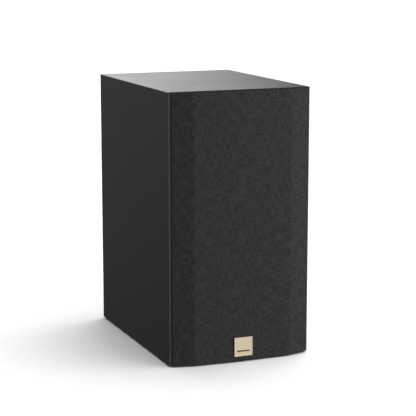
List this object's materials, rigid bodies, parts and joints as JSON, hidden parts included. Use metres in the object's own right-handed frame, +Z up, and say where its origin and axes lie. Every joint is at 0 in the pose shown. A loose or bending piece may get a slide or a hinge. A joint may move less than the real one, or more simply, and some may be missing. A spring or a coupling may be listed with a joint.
{
  "type": "bookshelf speaker",
  "caption": "Upright two-way bookshelf speaker: black box cabinet, bowed dark cloth grille with a small badge, rear port and screw terminals.",
  "frame": {"origin": "on the shelf, under the middle of the whole object's box", "axes": "+Z up; -Y towards the listener, out of the grille; +X to the right as the listener sees the front"},
  "size_m": [0.195, 0.297, 0.3515],
  "materials": {
    "baffle_lacquer": "satin black foil on fibreboard",
    "cabinet_wrap": "satin black foil on fibreboard",
    "rear_wrap": "matt black foil on fibreboard",
    "raw_fibreboard": "bare fibreboard",
    "wadding": "soft polyester wadding",
    "foot_rubber": "matt",
    "port_plastic": "fine moulded grain",
    "basket_enamel": "powder coat",
    "gasket_foam": "closed-cell foam",
    "trim_plastic": "fine moulded grain",
    "black_screw": "black oxide",
    "motor_steel": "turned, zinc plated",
    "ferrite": "ground ferrite",
    "cone_fibre": "pressed fibre, black",
    "former_film": "amber film",
    "copper_wire": "enamelled copper",
    "surround_rubber": "soft satin",
    "spider_cloth": "resin-treated cotton",
    "dome_silk": "coated silk",
    "chamber_plastic": "moulded",
    "tinned_brass": "tinned",
    "gilt_brass": "gilt, polished",
    "red_plastic": "clear-coated",
    "black_plastic": "clear-coated",
    "circuit_board": "green solder mask",
    "fixing_zinc": "zinc plated",
    "capacitor_film": "yellow film wrap",
    "resistor_cement": "white cement",
    "red_insulation": "soft sleeve",
    "black_insulation": "soft sleeve",
    "grille_plastic": "moulded",
    "grille_cloth": "dark grey melange weave",
    "badge_metal": "champagne, brushed"
  },
  "bodies": {
    "cabinet": {"baffle": "baffle_lacquer", "side_panel_left": "cabinet_wrap", "side_panel_right": "cabinet_wrap", "top_panel": "cabinet_wrap", "bottom_panel": "cabinet_wrap", "rear_panel": "rear_wrap", "shelf_brace": "raw_fibreboard", "damping_pads": "wadding", "rubber_feet": "foot_rubber", "grille_sockets": "foot_rubber", "port_tube": "port_plastic", "woofer_basket": "basket_enamel", "woofer_mounting_gasket": "gasket_foam", "tweeter_gasket": "gasket_foam", "terminal_gasket": "gasket_foam", "woofer_trim_ring": "trim_plastic", "tweeter_faceplate": "trim_plastic", "terminal_cup": "trim_plastic", "woofer_screws": "black_screw", "tweeter_screws": "black_screw", "terminal_screws": "black_screw", "woofer_top_plate": "motor_steel", "woofer_yoke": "motor_steel", "tweeter_top_plate": "motor_steel", "tweeter_yoke": "motor_steel", "woofer_magnet": "ferrite", "tweeter_magnet": "ferrite", "woofer_inductor_core": "ferrite", "woofer_inductor_winding": "copper_wire", "tweeter_inductor": "copper_wire", "tweeter_rear_chamber": "chamber_plastic", "driver_terminals": "tinned_brass", "post_nuts": "tinned_brass", "post_positive": "gilt_brass", "post_negative": "gilt_brass", "collar_positive": "red_plastic", "collar_negative": "black_plastic", "crossover_board": "circuit_board", "crossover_fixings": "fixing_zinc", "capacitors": "capacitor_film", "resistors": "resistor_cement", "wiring_positive": "red_insulation", "wiring_negative": "black_insulation"},
    "grille": {"grille_frame": "grille_plastic", "grille_cloth": "grille_cloth", "badge": "badge_metal"},
    "woofer_moving": {"woofer_cone": "cone_fibre", "woofer_dust_cap": "cone_fibre", "woofer_coil_former": "former_film", "woofer_voice_coil": "copper_wire", "woofer_surround": "surround_rubber", "woofer_spider": "spider_cloth", "woofer_tinsel_leads": "copper_wire"},
    "tweeter_moving": {"tweeter_dome": "dome_silk", "tweeter_surround": "surround_rubber", "tweeter_voice_coil": "copper_wire"},
    "washer_positive_body": {"clamp_washer_positive": "gilt_brass"},
    "washer_negative_body": {"clamp_washer_negative": "gilt_brass"},
    "knob_positive_body": {"knob_positive": "red_plastic"},
    "knob_negative_body": {"knob_negative": "black_plastic"}
  },
  "joints": [
    {"name": "grille_pull", "type": "slide", "parent": "cabinet", "child": "grille", "axis": [0, -1, 0], "range_m": [0, 0.12]},
    {"name": "woofer_excursion", "type": "slide", "parent": "cabinet", "child": "woofer_moving", "axis": [0, -1, 0], "range_m": [-0.005, 0.005], "stiffness_N_per_m": 1000, "deforming": ["woofer_surround", "woofer_spider", "woofer_tinsel_leads"]},
    {"name": "tweeter_excursion", "type": "slide", "parent": "cabinet", "child": "tweeter_moving", "axis": [0, -1, 0], "range_m": [-0.0003, 0.0003], "stiffness_N_per_m": 500, "deforming": ["tweeter_surround"]},
    {"name": "washer_positive_slide", "type": "slide", "parent": "cabinet", "child": "washer_positive_body", "axis": [0, 1, 0], "range_m": [0, 0.005]},
    {"name": "knob_positive_turn", "type": "hinge", "parent": "washer_positive_body", "child": "knob_positive_body", "pos_m": [0.019, 0.1345, 0.0855], "axis": [0, 1, 0], "range_deg": [0, 1800]},
    {"name": "washer_negative_slide", "type": "slide", "parent": "cabinet", "child": "washer_negative_body", "axis": [0, 1, 0], "range_m": [0, 0.005]},
    {"name": "knob_negative_turn", "type": "hinge", "parent": "washer_negative_body", "child": "knob_negative_body", "pos_m": [-0.019, 0.1345, 0.0855], "axis": [0, 1, 0], "range_deg": [0, 1800]}
  ],
  "couplings": [
    {"joint": "knob_positive_turn", "follows": "washer_positive_slide", "rad_per_m": 6283.2},
    {"joint": "knob_negative_turn", "follows": "washer_negative_slide", "rad_per_m": 6283.2}
  ]
}
